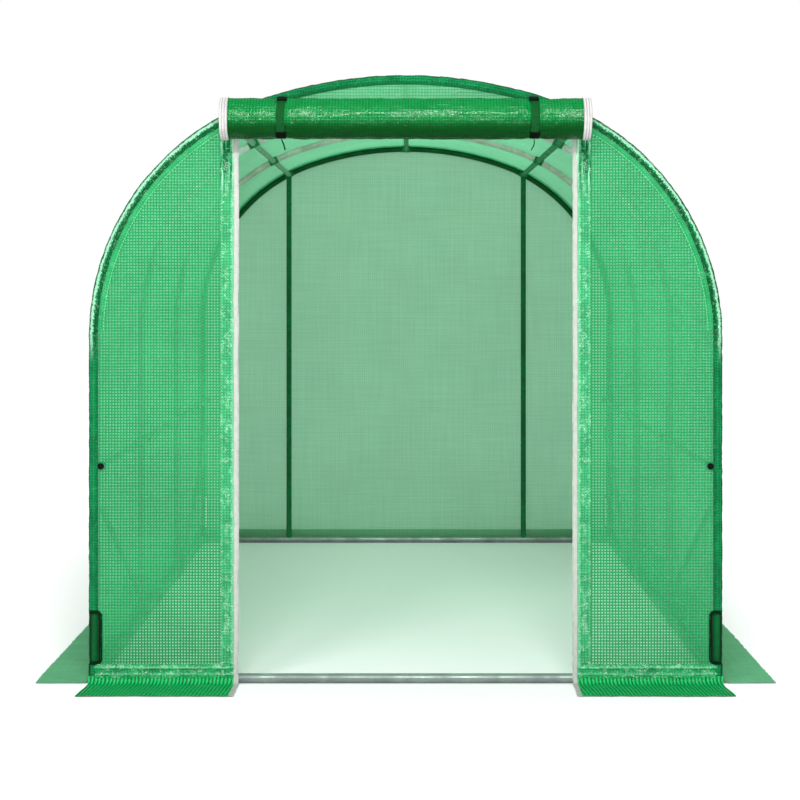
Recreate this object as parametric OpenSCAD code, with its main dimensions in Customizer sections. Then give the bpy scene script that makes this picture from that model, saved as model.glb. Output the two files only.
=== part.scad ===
// Polytunnel greenhouse: a frame of bent steel tubes under a sewn sheet of
// reinforced film, with a roll-up door in its front end.
// Millimetres. +Z is up, the front end faces -Y, and the origin is on the
// ground under the middle of the tunnel.

/* [Tunnel] */
// Overall width, outside the cover
tunnel_w = 2000; // [1650:10:2500]
// Overall length, outside the end walls and without the skirts
tunnel_l = 3000; // [2400:50:4000]
// Height at which the upright walls start to curve
wall_h = 1095; // [900:5:1400]
// Radius of the shoulders, outside the cover
shoulder_r = 790; // [650:5:800]
// Radius of the crown, outside the cover
crown_r = 1430; // [1180:5:1900]

/* [Frame tubes] */
// Diameter of the hoop tubes and of the end posts
hoop_d = 25; // [19:0.5:32]
// Diameter of the ridge and shoulder purlins
purlin_d = 22; // [16:0.5:25]
// Diameter of the side rails and of the braces
rail_d = 19; // [14:0.5:25]
// How much thicker than a hoop's foot the base tubes on the ground are
base_over = 5; // [3:0.5:12]
// Height of the side rails above the ground
rail_h = 687; // [600:1:850]
// Height at which a brace meets its end hoop
brace_h = 550; // [400:1:590]
// Distance of each end post from the middle
post_x = 567; // [565:1:640]
// Wall of the fittings that join the tubes
fitting_wall = 2; // [1:0.1:2]
// Length of a sleeve along its tube
fitting_l = 40; // [26:1:46]

/* [Cover] */
// Thickness of the sheet
cover_t = 1.5; // [1:0.1:2]
// Room between a hoop tube and the sheet
cover_gap = 3; // [2.8:0.1:6]
// Width of the skirt that lies on the ground
skirt_w = 170; // [120:5:240]
// Height to which the skirt laps up the wall
skirt_lap = 65; // [45:1:90]
// Radius of the bend from the wall to the skirt
skirt_bend = 24; // [12:1:30]
// How much wider the front skirts are at their outer edge
skirt_splay = 12; // [0:1:20]
// Lowest edge of the slots that show the feet of the end hoops
slot_z = 66; // [66:1:120]
// Height of those slots
slot_h = 162; // [100:1:220]
// Reach of a slot round the corner, from the middle of the hoop tube
slot_reach = 22; // [20:1:40]

/* [Door] */
// Clear width between the zips
door_w = 1065; // [900:5:1070]
// Height of the panel over each corner of the doorway, under the arch
door_strip = 46.8; // [43:0.1:300]
// Width of the zip tape beside the doorway
zip_w = 13; // [8:0.5:20]
// Diameter of the rolled-up door
roll_d = 124; // [80:1:150]
// Length of the roll without its zip tapes
roll_l = 1106; // [1000:1:1140]
// Height of the middle of the roll above the top of the doorway
roll_rise = 32; // [-60:1:40]
// Width of the zip tape wound up at each end of the roll
roll_tape_w = 22; // [10:1:30]
// Distance of each tie strap from the middle
strap_x = 390; // [200:5:500]
// Width of a tie strap
strap_w = 25; // [15:1:40]

/* [Hidden] */

$fn = 96;
sweep_fn = 360;   // fineness of the long bends
edge_steps = 24;  // straight steps in each bend of a panel's edge
corner_steps = 5; // straight steps round the sewn corner of an end
eps = 0.01;       // overlap that makes a cut go right through
fit_gap = 0.3;    // room between curved faces that meet
hoop_count = 4;
strap_t = 1.5;
toggle_w = 32;    // black toggle that closes a strap, on top of the roll
toggle_h = 7;
tail_l = 34;      // loose end of a strap, under the roll
cap_d = 20;       // black plug in the end of a side rail
cap_t = 6;
cap_stem_d = 8;
clip_w = 24;      // width of the clip that holds a rail to a hoop
slot_corner_r = 14;

// The arch: two shoulders and a crown that meet in line
half_w = tunnel_w / 2;
half_l = tunnel_l / 2;
shoulder_x = half_w - shoulder_r;
join_angle = asin(shoulder_x / (crown_r - shoulder_r)); // from the vertical
crown_z = wall_h - (crown_r - shoulder_r) * cos(join_angle);

base_d = hoop_d + base_over;
// Every tube of a hoop lies this far inside the outer face of the cover
hoop_inset = cover_t + max(cover_gap + hoop_d / 2, base_d / 2 + 0.5);
hoop_x = half_w - hoop_inset;
hoop_ys = [for (i = [0 : hoop_count - 1])
  -half_l + hoop_inset + i * (tunnel_l - 2 * hoop_inset) / (hoop_count - 1)];
front_y = hoop_ys[0];
back_y = hoop_ys[hoop_count - 1];
// Side rails and braces run along the inner side of the hoops
rail_x = hoop_x - hoop_d / 2 - rail_d / 2 - fit_gap;
brace_low_z = rail_d / 2 + base_d;
wall_foot = skirt_bend / 2 + cover_t;   // the sheets of the walls end above the ground
panel_edge = door_w / 2 + 1.5;          // the end panels reach behind the zips
strap_r = roll_d / 2 + fit_gap;
roll_y = -half_l - strap_r - strap_t - fit_gap;

// Height of the arch at a distance from the middle, inset from its outer face
function arch_z(x, inset) =
  abs(x) < (crown_r - inset) * sin(join_angle)
    ? crown_z + sqrt(pow(crown_r - inset, 2) - x * x)
    : wall_h + sqrt(pow(shoulder_r - inset, 2) - pow(abs(x) - shoulder_x, 2));

// The doorway keeps its distance from the arch, and the roll hangs over it
door_h = arch_z(panel_edge, hoop_inset) - door_strip;
roll_z = door_h + roll_rise;

// ---------- helpers ----------

// Mirrors its children to the left half
module on_left() {
  mirror([1, 0, 0]) children();
}

module both_sides() {
  children();
  on_left() children();
}

// Height and slope of the hoop tube's middle line at a distance from the middle
function hoop_z(x) = arch_z(x, hoop_inset);
function hoop_slope(x) =
  abs(x) < (crown_r - hoop_inset) * sin(join_angle)
    ? asin(x / (crown_r - hoop_inset))
    : sign(x) * asin((abs(x) - shoulder_x) / (shoulder_r - hoop_inset));

// Sweeps a 2D section, x outwards and y towards the front, round an arc
module arc_sweep(radius, from_angle, to_angle) {
  rotate([90, 0, 0])
    rotate([0, 0, from_angle])
      rotate_extrude(angle = to_angle - from_angle, $fn = sweep_fn)
        translate([radius, 0])
          children();
}

// Sweeps a section, drawn at the given inset from the outer face, over a shoulder
module shoulder_sweep(inset) {
  translate([shoulder_x, 0, wall_h])
    arc_sweep(shoulder_r - inset, 0, 90 - join_angle)
      children();
}

// Sweeps such a section over the crown, with some room left at its two ends
module crown_sweep(inset, end_room = 0) {
  trim = end_room / crown_r * 180 / PI;
  translate([0, 0, crown_z])
    arc_sweep(crown_r - inset, 90 - join_angle + trim, 90 + join_angle - trim)
      children();
}

// Sweeps such a section up the right wall
module wall_sweep(inset, low_z) {
  translate([half_w - inset, 0, low_z])
    linear_extrude(wall_h - low_z)
      mirror([0, 1])
        children();
}

// A round bar along Y
module bar_y(d, from_y, to_y) {
  translate([0, from_y, 0])
    rotate([-90, 0, 0])
      cylinder(d = d, h = to_y - from_y);
}

// A round bar along X, middle on the origin
module bar_x(d, length) {
  rotate([0, 90, 0])
    cylinder(d = d, h = length, center = true);
}

// ---------- hoops ----------

module tube_section() {
  circle(d = hoop_d, $fn = 48);
}

module hoop_side(i) {
  translate([0, hoop_ys[i], 0]) {
    wall_sweep(hoop_inset, 0) tube_section();
    shoulder_sweep(hoop_inset) tube_section();
  }
}

module hoop_crown(i) {
  translate([0, hoop_ys[i], 0])
    crown_sweep(hoop_inset) tube_section();
}

function is_end(i) = i == 0 || i == hoop_count - 1;

module hoop_colour(i) {
  color(is_end(i) ? "darkgreen" : "silver") children();
}

// Puts its children where a tube crosses hoop i, with their X along the hoop
module at_hoop(x, i) {
  translate([x, hoop_ys[i], hoop_z(x)])
    rotate([0, hoop_slope(x), 0])
      children();
}

// Room for hoop i where another tube meets it
module hoop_room(x, i) {
  at_hoop(x, i) bar_x(hoop_d + 2 * fit_gap, 4 * hoop_d);
}

// ---------- tubes between the hoops ----------

// One tube in each bay, saddled on the hoops at its ends
module purlin(x) {
  color("seagreen")
    difference() {
      translate([x, 0, hoop_z(x)]) bar_y(purlin_d, front_y, back_y);
      for (i = [0 : hoop_count - 1])
        hoop_room(x, i);
    }
}

// A tube along the foot of a wall, between the end legs and round the inner ones
module base_rail() {
  leg_room = hoop_d / 2 + fit_gap;
  color("silver")
    difference() {
      translate([hoop_x, 0, base_d / 2])
        bar_y(base_d, front_y + leg_room, back_y - leg_room);
      for (i = [1 : hoop_count - 2])
        translate([hoop_x, hoop_ys[i], -base_d])
          cylinder(r = leg_room, h = 3 * base_d);
    }
}

module base_bar(y) {
  color("silver")
    translate([0, y, base_d / 2])
      bar_x(base_d, 2 * (hoop_x - base_d / 2 - fit_gap));
}

module side_rail() {
  color("silver")
    translate([rail_x, 0, rail_h])
      bar_y(rail_d, -half_l + cover_t + fit_gap, half_l - cover_t - fit_gap);
}

// Two posts of an end, saddled on its base bar and under its hoop
module posts(i) {
  top_z = hoop_z(post_x) - hoop_d / 4;
  color("silver")
    both_sides()
      difference() {
        translate([post_x, hoop_ys[i], base_d / 2])
          cylinder(d = hoop_d, h = top_z - base_d / 2);
        hoop_room(post_x, i);
        translate([post_x, 0, hoop_z(post_x)])
          bar_y(purlin_d + 2 * fit_gap, front_y, back_y);
        translate([post_x, hoop_ys[i], base_d / 2])
          bar_x(base_d + 2 * fit_gap, 2 * hoop_d);
      }
}

// A brace in the bay next to an end, from the end hoop down to the next foot
module brace(from_y, to_y) {
  run = to_y - from_y;
  rise = brace_h - brace_low_z;
  lean = atan(abs(run) / rise);
  translate([rail_x, from_y, brace_h])
    rotate([run > 0 ? 180 + lean : 180 - lean, 0, 0])
      cylinder(d = rail_d, h = norm([run, rise]));
}

module braces() {
  color("silver") {
    brace(hoop_ys[0], hoop_ys[1]);
    brace(hoop_ys[hoop_count - 1], hoop_ys[hoop_count - 2]);
  }
}

// ---------- fittings ----------

// A short sleeve on the hoop, with a socket for each tube that meets it there
module purlin_fitting(x, i) {
  slack = 2 * fit_gap;    // the hoop bends a little inside the straight sleeve
  reach = hoop_d / 2 + slack + fitting_wall + fitting_l / 2;
  socket_d = purlin_d + 2 * fit_gap + 2 * fitting_wall;
  difference() {
    union() {
      at_hoop(x, i) bar_x(hoop_d + 2 * slack + 2 * fitting_wall - eps, fitting_l);
      translate([x, 0, hoop_z(x)])
        bar_y(socket_d,
              i == 0 ? hoop_ys[i] : hoop_ys[i] - reach,
              i == hoop_count - 1 ? hoop_ys[i] : hoop_ys[i] + reach);
    }
    at_hoop(x, i) bar_x(hoop_d + 2 * slack, 4 * hoop_d);
    translate([x, 0, hoop_z(x)])
      bar_y(purlin_d + 2 * fit_gap, hoop_ys[i] - 2 * reach, hoop_ys[i] + 2 * reach);
    // Room for the post under an end hoop
    if (is_end(i) && abs(x) == post_x)
      translate([x, hoop_ys[i], hoop_z(x) - 4 * hoop_d])
        cylinder(d = hoop_d + 2 * fit_gap, h = 4 * hoop_d);
  }
}

module purlin_fittings() {
  color("darkseagreen")
    for (x = [-post_x, 0, post_x], i = [0 : hoop_count - 1])
      purlin_fitting(x, i);
}

// A clip round a side rail and the leg behind it
module rail_clip(i) {
  room = hoop_d + 2 * fit_gap;
  translate([0, hoop_ys[i], rail_h])
    difference() {
      translate([rail_x - rail_d / 2 - fitting_wall, -clip_w / 2, -clip_w / 2])
        cube([rail_d / 2 + fitting_wall + hoop_x - rail_x, clip_w, clip_w]);
      translate([rail_x, 0, 0])
        bar_y(rail_d + 2 * fit_gap, -clip_w, clip_w);
      translate([hoop_x, 0, -clip_w])
        cylinder(d = room, h = 2 * clip_w);
    }
}

module rail_clips() {
  color("dimgray")
    both_sides()
      for (i = [0 : hoop_count - 1])
        rail_clip(i);
}

// ---------- cover ----------

cover_l = back_y - front_y;

// Section of a sheet that runs the length of the tunnel, at the outer face
module sheet_section() {
  translate([-cover_t, -cover_l / 2]) square([cover_t, cover_l]);
}

module wall_cover() {
  color("mediumseagreen") wall_sweep(0, wall_foot) sheet_section();
}

module shoulder_cover() {
  color("mediumseagreen") shoulder_sweep(0) sheet_section();
}

module crown_cover() {
  color("mediumseagreen") crown_sweep(0) sheet_section();
}

// Points along the arch from right to left, inset from its outer face
function shoulder_point(inset, a) =
  [shoulder_x + (shoulder_r - inset) * cos(a), wall_h + (shoulder_r - inset) * sin(a)];
function crown_point(inset, a) =
  [(crown_r - inset) * cos(a), crown_z + (crown_r - inset) * sin(a)];
function flipped(p) = [-p[0], p[1]];
function arch_points(inset) =
  let (bend = 90 - join_angle)
  concat(
    [for (i = [0 : edge_steps]) shoulder_point(inset, i * bend / edge_steps)],
    [for (i = [1 : edge_steps - 1]) crown_point(inset, bend + 2 * i * join_angle / edge_steps)],
    [for (i = [edge_steps : -1 : 0]) flipped(shoulder_point(inset, i * bend / edge_steps))]
  );

// The outline of an end of the tunnel
module arch_outline(inset) {
  polygon(concat(
    [[half_w - inset, wall_foot]],
    arch_points(inset),
    [[-half_w + inset, wall_foot]]
  ));
}

// A flat end sheet cut from the arch, its outer face at the given place
module end_sheet(outer_y) {
  color("mediumseagreen")
    translate([0, outer_y + (outer_y < 0 ? cover_t : 0), 0])
      rotate([90, 0, 0])
        linear_extrude(cover_t)
          children();
}

module front_side_panel() {
  difference() {
    end_sheet(-half_l)
      intersection() {
        arch_outline(hoop_inset);
        translate([panel_edge, 0]) square([half_w, 2 * wall_h + crown_r]);
      }
    corner_slot(front_y);
    translate([rail_x, 0, rail_h]) bar_y(cap_stem_d + 2 * fit_gap, -2 * half_l, 0);
  }
}

module front_top_panel() {
  end_sheet(-half_l)
    intersection() {
      arch_outline(hoop_inset);
      translate([-panel_edge, door_h]) square([2 * panel_edge, 2 * crown_r]);
    }
}

module back_panel() {
  difference() {
    end_sheet(half_l) arch_outline(hoop_inset);
    both_sides() mirror([0, 1, 0]) corner_slot(-back_y);
    both_sides()
      translate([rail_x, 0, rail_h]) bar_y(cap_stem_d + 2 * fit_gap, 0, 2 * half_l);
  }
}

// Section of the sewn corner round an end hoop, for the front end
module corner_section() {
  bend = [0 : 90 / corner_steps : 90];
  unbend = [90 : -90 / corner_steps : 0];
  inner_r = hoop_inset - cover_t;
  polygon(concat(
    [for (a = bend) hoop_inset * [cos(a), sin(a)]],
    [for (a = unbend) inner_r * [cos(a), sin(a)]]
  ));
}

module corner_sleeve() {
  color("seagreen") {
    both_sides() {
      difference() {
        wall_sweep(hoop_inset, wall_foot) corner_section();
        corner_slot(0);
      }
      shoulder_sweep(hoop_inset) corner_section();
    }
    crown_sweep(hoop_inset, fit_gap) corner_section();
  }
}

// A tall slot, round inside, that shows the foot of an end hoop at y from the front
module corner_slot(y) {
  r = slot_corner_r;
  back = hoop_inset;
  translate([hoop_x - slot_reach, y - back, slot_z]) {
    translate([r, 0, 0]) cube([slot_reach + hoop_inset, back, slot_h]);
    translate([0, 0, r]) cube([r + eps, back, slot_h - 2 * r]);
    for (z = [r, slot_h - r])
      translate([r, 0, z]) bar_y(2 * r, 0, back);
  }
}

// ---------- skirts ----------

// Section of a sheet that comes down a wall and turns out over the ground, x outwards
module skirt_section(top_z) {
  bend_x = cover_t + skirt_bend;
  bend_z = cover_t + skirt_bend;
  translate([0, bend_z]) square([cover_t, top_z - bend_z]);
  translate([bend_x, 0]) square([skirt_w - bend_x, cover_t]);
  intersection() {
    difference() {
      translate([bend_x, bend_z]) circle(r = bend_z);
      translate([bend_x, bend_z]) circle(r = skirt_bend);
    }
    square([bend_x, bend_z]);
  }
}

module side_skirt() {
  color("mediumseagreen")
    translate([half_w, half_l, 0])
      rotate([90, 0, 0])
        linear_extrude(tunnel_l)
          skirt_section(skirt_lap);
}

// A skirt in front of the front end, from one place across to another
module end_skirt(from_x, to_x, top_z) {
  translate([from_x, -half_l, 0])
    rotate([90, 0, -90])
      mirror([0, 0, 1])
        linear_extrude(to_x - from_x)
          skirt_section(top_z);
}

module front_skirts() {
  zip_edge = door_w / 2 + zip_w;
  color("seagreen")
    both_sides() {
      end_skirt(zip_edge, half_w, skirt_lap);
      // The splayed outer end
      translate([half_w, -half_l, 0])
        linear_extrude(cover_t)
          polygon([
            [-eps, -2 * skirt_bend],
            [-eps, -skirt_w],
            [skirt_splay, -skirt_w]
          ]);
    }
}

module back_skirt() {
  color("mediumseagreen")
    mirror([0, 1, 0]) end_skirt(-half_w, half_w, skirt_lap);
}

// ---------- door ----------

module door_zips() {
  color("white")
    both_sides() end_skirt(door_w / 2, door_w / 2 + zip_w, door_h - zip_w);
}

module at_roll(x = 0) {
  translate([x, roll_y, roll_z]) children();
}

module door_roll() {
  color("green") at_roll() bar_x(roll_d, roll_l);
}

module roll_end_tapes() {
  color("white")
    both_sides()
      at_roll((roll_l + roll_tape_w) / 2) bar_x(roll_d, roll_tape_w);
}

module roll_strap() {
  at_roll(strap_x) {
    difference() {
      bar_x(2 * (strap_r + strap_t), strap_w);
      bar_x(2 * strap_r, strap_w + 2 * eps);
    }
    // Toggle
    difference() {
      translate([-toggle_w / 2, -toggle_h, strap_r])
        cube([toggle_w, 2 * toggle_h, strap_t + toggle_h]);
      bar_x(2 * strap_r, 2 * toggle_w);
    }
    // Loose end
    translate([0, 0, -strap_r - strap_t + eps])
      rotate([0, 180 - 35, 0])
        translate([-strap_t / 2, -strap_w / 4, 0])
          cube([strap_t, strap_w / 2, tail_l]);
  }
}

module roll_straps() {
  color("darkgreen") both_sides() roll_strap();
}

// The plug in each end of a side rail, with its head outside the end panel
module rail_caps() {
  color("black")
    both_sides()
      for (end = [-1, 1])
        translate([rail_x, 0, rail_h])
          mirror([0, end < 0 ? 0 : 1, 0]) {
            bar_y(cap_d, -half_l - cap_t, -half_l);
            bar_y(cap_stem_d, -half_l - eps, -half_l + cover_t + fit_gap);
          }
}

// ---------- nodes ----------

HOOP_NAMES = ["front_hoop", "second_hoop", "third_hoop", "back_hoop"];
for (i = [0 : hoop_count - 1]) {
  hoop_colour(i) on_left() hoop_side(i);
  hoop_colour(i) hoop_crown(i);
  hoop_colour(i) hoop_side(i);
}
purlin(0);  // ridge_purlin
purlin(-post_x);  // left_shoulder_purlin
purlin(post_x);  // right_shoulder_purlin
on_left() side_rail();  // left_side_rail
side_rail();  // right_side_rail
on_left() base_rail();  // left_base_rail
base_rail();  // right_base_rail
base_bar(front_y);  // front_base_bar
base_bar(back_y);  // back_base_bar
posts(0);  // front_posts
posts(hoop_count - 1);  // back_posts
on_left() braces();  // left_braces
braces();  // right_braces
purlin_fittings();
rail_clips();
on_left() wall_cover();  // left_wall_cover
on_left() shoulder_cover();  // left_shoulder_cover
crown_cover();
shoulder_cover();  // right_shoulder_cover
wall_cover();  // right_wall_cover
on_left() front_side_panel();  // front_left_panel
front_side_panel();  // front_right_panel
front_top_panel();
back_panel();
translate([0, front_y, 0]) corner_sleeve();  // front_corner_sleeve
translate([0, back_y, 0]) mirror([0, 1, 0]) corner_sleeve();  // back_corner_sleeve
on_left() side_skirt();  // left_skirt
side_skirt();  // right_skirt
front_skirts();
back_skirt();
door_zips();
door_roll();
roll_end_tapes();
roll_straps();
rail_caps();
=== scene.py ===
# %% [markdown]
# # A polytunnel greenhouse, piece by piece
# The tunnel is a frame of bent steel tubes under a sewn sheet of reinforced film.
# The tubes come ready made from the CAD model. This lesson makes everything that is
# cloth: the cover, the end panels, the sleeves round the end hoops, the skirts on the
# ground, and the door that is rolled up and tied over the doorway.

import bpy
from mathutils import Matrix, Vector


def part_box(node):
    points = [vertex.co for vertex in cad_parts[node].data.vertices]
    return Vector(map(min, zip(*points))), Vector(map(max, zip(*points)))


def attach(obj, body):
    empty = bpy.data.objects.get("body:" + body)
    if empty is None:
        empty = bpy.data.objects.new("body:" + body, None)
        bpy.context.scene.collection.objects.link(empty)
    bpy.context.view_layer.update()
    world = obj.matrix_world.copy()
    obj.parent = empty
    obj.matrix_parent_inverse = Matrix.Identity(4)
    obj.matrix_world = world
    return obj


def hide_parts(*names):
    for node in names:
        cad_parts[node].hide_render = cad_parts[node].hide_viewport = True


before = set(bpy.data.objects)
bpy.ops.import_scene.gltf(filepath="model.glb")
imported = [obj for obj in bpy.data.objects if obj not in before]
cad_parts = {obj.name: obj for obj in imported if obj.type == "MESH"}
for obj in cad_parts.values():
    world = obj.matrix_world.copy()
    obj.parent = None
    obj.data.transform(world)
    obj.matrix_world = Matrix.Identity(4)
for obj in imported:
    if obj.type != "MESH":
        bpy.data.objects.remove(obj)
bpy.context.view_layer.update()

# %% Tools
import math

import bmesh
import bpy
import numpy as np
from mathutils import Vector

scene = bpy.context.scene
SIDES = ((-1, "left"), (1, "right"))
ENDS = ((-1, "front"), (1, "back"))


def low(node):
    """The low corner of a CAD piece's box."""
    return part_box(node)[0]


def high(node):
    """The high corner of a CAD piece's box."""
    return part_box(node)[1]


def add_object(name, data):
    made = bpy.data.objects.new(name, data)
    scene.collection.objects.link(made)
    return made


# %% [markdown]
# ## The line of the arch
# Every sheet follows one arch: upright walls, two shoulders of one radius and a crown
# of a larger one, in line where they meet. The three radii aren't written down here.
# They follow from the boxes of the CAD pieces, so the cloth always fits the frame.

# %% The arch, from the boxes of the cover pieces
HALF_W = high("right_wall_cover").x
WALL_H = high("right_wall_cover").z
JOIN_X, JOIN_Z = high("crown_cover").x, high("right_shoulder_cover").z
reach, rise = HALF_W - JOIN_X, JOIN_Z - WALL_H
SHOULDER_R = (reach**2 + rise**2) / (2 * reach)
SHOULDER_X = HALF_W - SHOULDER_R
LEAN = math.asin((JOIN_X - SHOULDER_X) / SHOULDER_R)
CROWN_R = JOIN_X / math.sin(LEAN)
CROWN_Z = JOIN_Z - CROWN_R * math.cos(LEAN)
FRONT_Y, BACK_Y = low("front_left_panel").y, high("back_panel").y
HOOPS = [(low(f"{n}_hoop_crown").y + high(f"{n}_hoop_crown").y) / 2
         for n in ("front", "second", "third", "back")]
TUBE_R = (high("front_posts").y - low("front_posts").y) / 2
TUBE_IN = HALF_W - high("front_hoop_right_side").x + TUBE_R
print("shoulder", round(SHOULDER_R, 4), "crown", round(CROWN_R, 4), "top", round(CROWN_Z + CROWN_R, 4))
print("tube line lies", round(TUBE_IN, 4), "inside the cover")

# %% Walking along the arch
WALL_S = WALL_H                                    # up the left wall
SHOULDER_S = WALL_S + SHOULDER_R * (math.pi / 2 - LEAN)
CROWN_S = SHOULDER_S + 2 * CROWN_R * LEAN
ARCH_S = 2 * SHOULDER_S + 2 * CROWN_R * LEAN       # foot to foot


def arch(s, out=0.0):
    """Points x and z at distances s along the arch, and the outward direction."""
    s = np.asarray(s, float)
    turned = s > ARCH_S / 2                        # the right half mirrors the left
    d = np.where(turned, ARCH_S - s, s)
    on_wall, on_shoulder = d < WALL_S, d < SHOULDER_S
    a = np.clip((d - WALL_S) / SHOULDER_R, 0, math.pi / 2 - LEAN)
    b = math.pi / 2 - LEAN + np.clip((d - SHOULDER_S) / CROWN_R, 0, LEAN)
    angle = np.where(on_shoulder, a, b)
    nx, nz = -np.cos(angle), np.sin(angle)
    x = np.where(on_shoulder, -SHOULDER_X + SHOULDER_R * nx, CROWN_R * nx)
    z = np.where(on_shoulder, WALL_H + SHOULDER_R * nz, CROWN_Z + CROWN_R * nz)
    x, z = np.where(on_wall, -HALF_W, x), np.where(on_wall, d, z)
    side = np.where(turned, -1.0, 1.0)
    nx, nz = np.where(on_wall, -1.0, nx), np.where(on_wall, 0.0, nz)
    return side * (x + out * nx), z + out * nz, side * nx, nz


def arch_top(x, inset):
    """Height of the arch over x, at an inset from its outer line."""
    x = np.abs(np.asarray(x, float))
    crown = np.sqrt(np.maximum((CROWN_R - inset) ** 2 - x**2, 0)) + CROWN_Z
    side = np.sqrt(np.maximum((SHOULDER_R - inset) ** 2 - (x - SHOULDER_X) ** 2, 0)) + WALL_H
    return np.where(x < (CROWN_R - inset) * math.sin(LEAN), crown, side)


print("arch length", round(ARCH_S, 3), "top", round(float(arch_top(0, 0)), 3))

# %% [markdown]
# ## Soft unevenness
# Film under light tension is never flat. A field of smooth bumps, made from a lattice
# of fixed random values, moves the points of each sheet a little. The same seed gives
# the same cloth every time.

# %% Smooth bumps from a lattice of fixed values
def bumps(u, v, size_u, size_v, seed):
    """A smooth field from -1 to 1 with bumps of about the given sizes in metres."""
    values = np.random.default_rng(seed).uniform(-1, 1, (64, 64))
    gu, gv = np.asarray(u) / size_u, np.asarray(v) / size_v
    iu, iv = np.floor(gu).astype(int), np.floor(gv).astype(int)
    fu, fv = gu - iu, gv - iv
    fu, fv = fu * fu * (3 - 2 * fu), fv * fv * (3 - 2 * fv)
    at = lambda a, b: values[a % 64, b % 64]
    near = at(iu, iv) * (1 - fu) + at(iu + 1, iv) * fu
    far = at(iu, iv + 1) * (1 - fu) + at(iu + 1, iv + 1) * fu
    return near * (1 - fv) + far * fv


def ease(x, start, end):
    """From 0 at start to 1 at end, smoothly."""
    t = np.clip((np.asarray(x, float) - start) / (end - start), 0, 1)
    return t * t * (3 - 2 * t)


# %% A sheet from rows of points
def sheet_mesh(name, points, u, v, material, keep=None):
    """A cloth of quads, with its flat pattern in metres as its UV map."""
    rows, cols = u.shape
    index = np.arange(rows * cols).reshape(rows, cols)
    quads = np.stack([index[:-1, :-1], index[:-1, 1:], index[1:, 1:], index[1:, :-1]], -1)
    quads = (quads if keep is None else quads[keep]).reshape(-1, 4)
    used, quads = np.unique(quads, return_inverse=True)
    quads = quads.reshape(-1, 4)
    mesh = bpy.data.meshes.new(name)
    mesh.from_pydata(points.reshape(-1, 3)[used].tolist(), [], quads.tolist())
    pattern = np.stack([u.ravel()[used], v.ravel()[used]], 1)[quads.ravel()]
    mesh.uv_layers.new(name="cloth").data.foreach_set("uv", pattern.ravel())
    mesh.shade_smooth()
    mesh.materials.append(material)
    return add_object(name, mesh)


def join_points(x, y, z):
    return np.stack(np.broadcast_arrays(x, y, z), -1)


def thicken(piece, thickness):
    """Gives a tape or a strap its thickness, half to each side of its sheet."""
    wall = piece.modifiers.new("Thickness", "SOLIDIFY")
    wall.thickness, wall.offset = thickness, 0.0


def settle(piece, slot, *nodes):
    """The piece rides on the tunnel and stands for its CAD nodes. slot is not used."""
    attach(piece, "root")
    if nodes:
        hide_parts(*nodes)
    print(piece.name, len(piece.data.polygons), "faces")
    return piece


# %% [markdown]
# ## Shader groups
# Several finishes share the same effects: the woven grid inside the film, the sharp
# little creases of crumpled film, and blotches of wear. Each effect is a group with
# named inputs, built once and used with other values in each material.

# %% Building groups and materials
def new_group(name, inputs, outputs):
    group = bpy.data.node_groups.new(name, "ShaderNodeTree")
    for label, kind, value in inputs:
        socket = group.interface.new_socket(label, in_out="INPUT", socket_type=kind)
        if value is not None:
            socket.default_value = value
    for label, kind in outputs:
        group.interface.new_socket(label, in_out="OUTPUT", socket_type=kind)
    return group, group.nodes.new("NodeGroupInput"), group.nodes.new("NodeGroupOutput")


def plug(tree, socket, value):
    """Wires another socket in, or sets a plain value."""
    if isinstance(value, bpy.types.NodeSocket):
        tree.links.new(value, socket)
    else:
        socket.default_value = value


def math_node(tree, operation, *values):
    node = tree.nodes.new("ShaderNodeMath")
    node.operation = operation
    for socket, value in zip(node.inputs, values):
        plug(tree, socket, value)
    return node.outputs[0]


def smooth_range(tree, value, low_in, high_in, low_out=0.0, high_out=1.0):
    node = tree.nodes.new("ShaderNodeMapRange")
    node.interpolation_type = "SMOOTHSTEP"
    for socket, given in zip(node.inputs, (value, low_in, high_in, low_out, high_out)):
        plug(tree, socket, given)
    return node.outputs[0]


def mix_colour(tree, share, a, b, blend="MIX"):
    node = tree.nodes.new("ShaderNodeMix")
    node.data_type, node.blend_type = "RGBA", blend
    for label, value in (("Factor_Float", share), ("A_Color", a), ("B_Color", b)):
        socket = next(s for s in node.inputs if s.identifier == label)
        plug(tree, socket, value)
    return next(s for s in node.outputs if s.identifier == "Result_Color")


def texture(tree, kind, vector, **settings):
    node = tree.nodes.new(kind)
    tree.links.new(vector, node.inputs["Vector"])
    for label, value in settings.items():
        if label in node.inputs:
            node.inputs[label].default_value = value
        else:
            setattr(node, label, value)
    return node


# %% The grid of flat threads inside the film
grid, grid_in, grid_out = new_group(
    "Woven grid",
    [("Vector", "NodeSocketVector", None), ("Pitch", "NodeSocketFloat", 0.0085),
     ("Thread share", "NodeSocketFloat", 0.56), ("Wander", "NodeSocketFloat", 0.0012)],
    [("Threads", "NodeSocketFloat"), ("Height", "NodeSocketFloat")])
wander = texture(grid, "ShaderNodeTexNoise", grid_in.outputs["Vector"], Scale=9.0, Detail=1.0)
offset = grid.nodes.new("ShaderNodeVectorMath")
offset.operation = "MULTIPLY_ADD"
grid.links.new(wander.outputs["Color"], offset.inputs[0])
spread = grid.nodes.new("ShaderNodeCombineXYZ")
for axis in "XYZ":
    plug(grid, spread.inputs[axis], grid_in.outputs["Wander"])
grid.links.new(spread.outputs[0], offset.inputs[1])
grid.links.new(grid_in.outputs["Vector"], offset.inputs[2])
parts = grid.nodes.new("ShaderNodeSeparateXYZ")
grid.links.new(offset.outputs[0], parts.inputs[0])
edge = grid_in.outputs["Thread share"]
THREAD_SOFTNESS = 0.14
rows = []
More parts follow.
